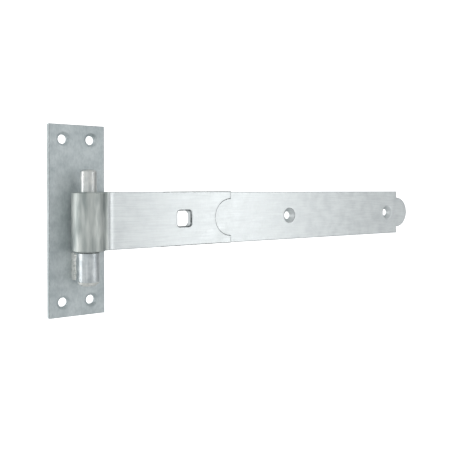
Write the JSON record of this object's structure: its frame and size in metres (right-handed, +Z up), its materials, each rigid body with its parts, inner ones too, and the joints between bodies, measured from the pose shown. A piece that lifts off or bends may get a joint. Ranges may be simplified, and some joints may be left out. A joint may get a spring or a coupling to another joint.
{
  "type": "hook and band gate hinge",
  "caption": "Hook-and-band gate hinge: a flat bar folded round a loose eye drops onto an upright pin that stands on a screw-on plate, so the band swings and lifts off.",
  "frame": {"origin": "centre of the plate's rear face, which lies on the post", "axes": "+X along the band towards its tip, +Y out of the plate's rear face into the post, +Z up along the pin"},
  "size_m": [0.3608, 0.0287, 0.13],
  "materials": {
    "plate_zinc": "hot-dip galvanised mild steel, dull bluish grey with faint cloudy mottling",
    "pin_zinc": "hot-dip galvanised round bar, satin with drawn streaks",
    "boss_zinc": "hot-dip galvanised forged steel, satin",
    "weld_zinc": "galvanised weld bead, rippled and slightly brighter",
    "band_zinc": "hot-dip galvanised flat bar, bright satin with fine rolling grain"
  },
  "bodies": {
    "hook_plate": {"back_plate": "plate_zinc", "hinge_pin": "pin_zinc", "pin_boss": "boss_zinc", "boss_weld_left": "weld_zinc", "boss_weld_right": "weld_zinc", "pin_foot_weld": "weld_zinc"},
    "band": {"strap_band": "band_zinc"}
  },
  "joints": [
    {"name": "band_swing", "type": "hinge", "parent": "hook_plate", "child": "band", "pos_m": [0.002, -0.0175, -0.0005], "axis": [0, 0, -1], "range_deg": [-6, 210]}
  ]
}
